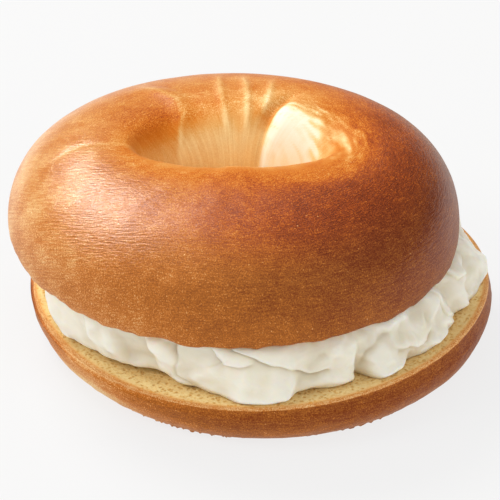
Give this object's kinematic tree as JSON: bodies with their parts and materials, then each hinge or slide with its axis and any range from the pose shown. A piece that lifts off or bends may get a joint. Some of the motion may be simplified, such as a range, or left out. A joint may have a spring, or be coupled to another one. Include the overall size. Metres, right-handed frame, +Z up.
{
  "type": "bagel",
  "caption": "Round baked bagel cut across, with a thick layer of soft white cheese spread between its glossy domed top and its flat base.",
  "frame": {"origin": "middle of the ground square that the bagel covers, at the height of its base", "axes": "+Z up through the bagel's thickness, -Y towards the side that the picture shows, +X to the right"},
  "size_m": [0.1154, 0.1122, 0.049],
  "materials": {
    "crust_bottom": "baked crust with a pale open crumb on the cut face",
    "cream_cheese": "soft, moist and slightly glossy",
    "crust_top": "boiled and baked crust with a satin gloss"
  },
  "bodies": {
    "root": {"bagel_bottom": "crust_bottom", "cream_cheese": "cream_cheese", "bagel_top": "crust_top"}
  },
  "joints": []
}
